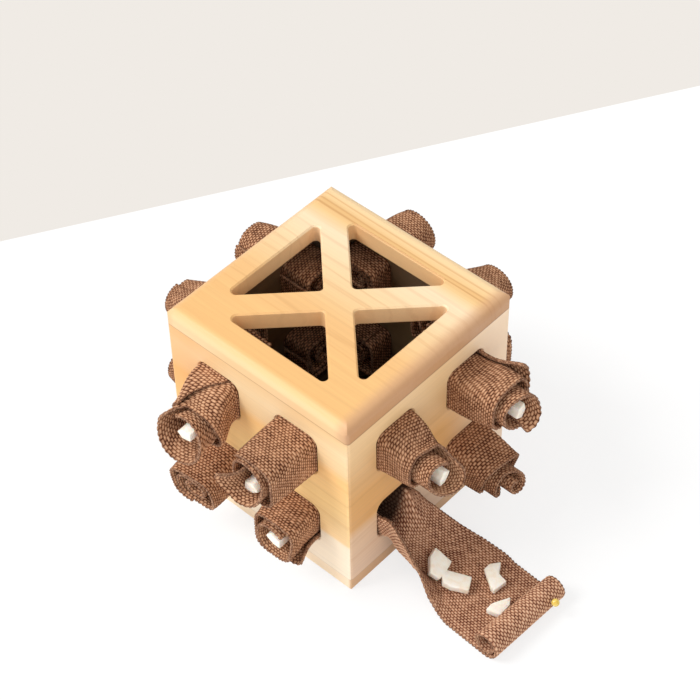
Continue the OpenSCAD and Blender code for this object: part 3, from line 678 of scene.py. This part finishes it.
laidTreats = {
    "near_hole": {"turn": (-4, 33), "shift": (1.2, -2.4, -0.4),
                  "outline": [(-6, 0.5), (-7.5, 6), (3.5, 8), (5, 2), (5.5, -4), (0, -6)]},
    "near_lip": {"turn": (-3, 4), "shift": (-1.1, -1.0, 0.2),
                 "outline": [(-8, -0.5), (-7, 2), (5, 8), (9.5, 0), (1.5, -4.5), (-3, -5.5)]},
    "far_side": {"turn": (0, 0), "shift": (-0.7, 2.0, 0.1),
                 "outline": [(-6.5, -0.5), (-7, 3.5), (-3, 8.5), (0.5, 2.5), (6.5, 1), (5.5, -7.5), (3.5, -7.5)]},
    "near_roll": {"turn": (0, 0), "shift": (1.1, 1.0, 0.0),
                  "outline": [(-3, -5), (-3.5, -0.5), (1.5, 9), (4, 5), (4.5, -3)]},
}
for treatName, treat in laidTreats.items():
    tipX, tipY = treat["turn"]
    treatChunk(treatName + "Treat", "laid_treat_" + treatName, treatName + "_bite", treat["outline"],
               chunk["laidThick"], rotated((tipY, "Y"), (tipX, "X")), treat["shift"])

rolledTreats = {  # turn about the roll's axis, and shift
    "front_upper_left": (200, (5.0, -4.5, -1.5)), "front_upper_right": (20, (0, 0, 0)),
    "front_lower_right": (340, (1.0, -2.5, -1.0)), "right_upper_front": (250, (0.5, 1.5, -4.0)),
    "right_upper_back": (80, (-2.0, 2.0, 0.5)),
}
rolledSize = chunk["rolledSize"]
rolledOutline = [(rolledSize * x, rolledSize * y)
                 for x, y in ((-0.92, -0.35), (0.1, -0.62), (0.95, -0.25), (0.6, 0.5), (-0.5, 0.62))]
for treatName, (twist, shift) in rolledTreats.items():
    facing = box["facing"][treatName.split("_")[0]]
    treatChunk(treatName + "Treat", treatName + "_treat", treatName + "_bite", rolledOutline, 3 * rolledSize,
               rotated((facing, "Z"), (90, "X"), (twist, "Z")), shift)
print("treats:", len(laidTreats) + len(rolledTreats))


pin = {"bead": ("#D9B23C", "#F0D878"), "needle": ("#A9A9A6", "#D2D2CE")}


def beadFinish():
    f = Finish("yellowBead")
    swirl = f.cloud(f.coordinates(), 500.0, 2.0)
    f.put(f.shader, "Base Color", f.ramp(swirl, list(zip((0.35, 0.7), map(linearTone, pin["bead"])))))
    f.shader.inputs["Roughness"].default_value = 0.18
    f.shader.inputs["Coat Weight"].default_value = 0.6
    return f.material


def needleFinish():
    f = Finish("steelNeedle")
    drawn = f.cloud(f.stretched(f.coordinates(), (300.0, 6000.0, 6000.0)), 1.0, 2.0)
    f.put(f.shader, "Base Color", f.ramp(drawn, list(zip((0.3, 0.7), map(linearTone, pin["needle"])))))
    f.shader.inputs["Metallic"].default_value = 1.0
    f.put(f.shader, "Roughness", f.ranged(drawn, 0.3, 0.7, (0.25, 0.4)))
    return f.material


for pinNode, pinMaterial in (("pin_bead", beadFinish()), ("pin_needle", needleFinish())):
    nodes[pinNode].data.materials.clear()
    nodes[pinNode].data.materials.append(pinMaterial)


def stageFinish(name, colour, share):  # plain colour to the camera and in gloss, and still takes shadow
    f = Finish(name)
    f.shader.inputs["Base Color"].default_value = colour
    f.shader.inputs["Roughness"].default_value = 1.0
    f.shader.inputs["Specular IOR Level"].default_value = 0.0
    glow = f.tree.nodes.new("ShaderNodeEmission")
    glow.inputs["Color"].default_value = colour
    rays = f.tree.nodes.new("ShaderNodeLightPath")
    seen = f.sums("MAXIMUM", rays.outputs["Is Camera Ray"],
                  f.sums("MAXIMUM", rays.outputs["Is Glossy Ray"], rays.outputs["Is Transmission Ray"]))
    mix = f.tree.nodes.new("ShaderNodeMixShader")
    f.put(mix, 0, f.sums("MULTIPLY", seen, share))
    f.tree.links.new(f.shader.outputs[0], mix.inputs[1])
    f.tree.links.new(glow.outputs[0], mix.inputs[2])
    f.tree.links.new(mix.outputs[0], f.out.inputs["Surface"])
    return f.material


floorEdge = {  # two points of the line where the white floor ends, and how far it runs on
    "left": Vector((-264, -10, 0)), "right": Vector((-37, 375, 0)), "past": 3000, "deep": 5000,
    "floorZ": -0.02, "backdropZ": -1.0,
}
edgeRun = (floorEdge["right"] - floorEdge["left"]).normalized()
edgeOut = Vector((-edgeRun.y, edgeRun.x, 0))


def stagePlane(name, side, height, material):  # side: 1 is beyond the floor's edge, -1 before it
    left = floorEdge["left"] - edgeRun * floorEdge["past"] + Vector((0, 0, height))
    right = floorEdge["right"] + edgeRun * floorEdge["past"] + Vector((0, 0, height))
    away = edgeOut * floorEdge["deep"] * side
    bm = bmesh.new()
    bm.faces.new([bm.verts.new(corner * mm) for corner in (left, right, right + away, left + away)])
    bmesh.ops.recalc_face_normals(bm, faces=bm.faces)
    plane = addObject(name, bm, material)


stagePlane("floor", -1, floorEdge["floorZ"], stageFinish("whiteFloor", (1.0, 1.0, 1.0, 1), 0.75))
stagePlane("backdrop", 1, floorEdge["backdropZ"], stageFinish("warmGrey", linearTone("#F0EBE5"), 1.0))

lights = {
    "key": {"from": (-0.50, -0.55, 0.80), "strength": 2.1, "spread": 28},
    "fill": {"from": (0.75, -0.45, 0.6), "strength": 0.55, "spread": 60},
    "room": 0.62, "roomTone": (1.0, 0.985, 0.965, 1),
}
for lightName in ("key", "fill"):
    light = lights[lightName]
    lamp = bpy.data.lights.new(lightName, "SUN")
    lamp.energy = light["strength"]
    lamp.angle = math.radians(light["spread"])
    lampObject = bpy.data.objects.new(lightName, lamp)
    lampObject.rotation_euler = Vector(light["from"]).to_track_quat("Z", "Y").to_euler()
    lampObject.location = Vector(light["from"])
    bpy.context.scene.collection.objects.link(lampObject)
world = bpy.data.worlds.new("room")
bpy.context.scene.world = world
world.use_nodes = True
sky = world.node_tree.nodes["Background"]
sky.inputs["Color"].default_value = lights["roomTone"]
sky.inputs["Strength"].default_value = lights["room"]

view = {"azimuth": 43.124, "elevation": 47.4841, "roll": -1.3193, "distance": 1062.9, "side": 4.97, "up": 18.48,
        "aim": (0, 0, 60), "focusPixels": 2079.28, "framePixels": 700, "sensor": 36}
az, el = math.radians(view["azimuth"]), math.radians(view["elevation"])
back = Vector((math.sin(az) * math.cos(el), -math.cos(az) * math.cos(el), math.sin(el)))
right = (-back).cross(Vector((0, 0, 1))).normalized()
up = right.cross(-back)
eye = Vector(view["aim"]) + right * view["side"] + up * view["up"] + back * view["distance"]
tilt = math.radians(view["roll"])
camRight = right * math.cos(tilt) + up * math.sin(tilt)
camUp = up * math.cos(tilt) - right * math.sin(tilt)
camera = bpy.data.cameras.new("camera")
camera.lens = view["focusPixels"] / view["framePixels"] * view["sensor"]
camera.sensor_width = view["sensor"]
camera.clip_end = 20
cameraObject = bpy.data.objects.new("camera", camera)
cameraObject.matrix_world = Matrix((
    (camRight.x, camUp.x, back.x, eye.x * mm), (camRight.y, camUp.y, back.y, eye.y * mm),
    (camRight.z, camUp.z, back.z, eye.z * mm), (0, 0, 0, 1)))
bpy.context.scene.collection.objects.link(cameraObject)
bpy.context.scene.camera = cameraObject
bpy.context.scene.view_settings.view_transform = "Standard"
print("stage, light and camera set")
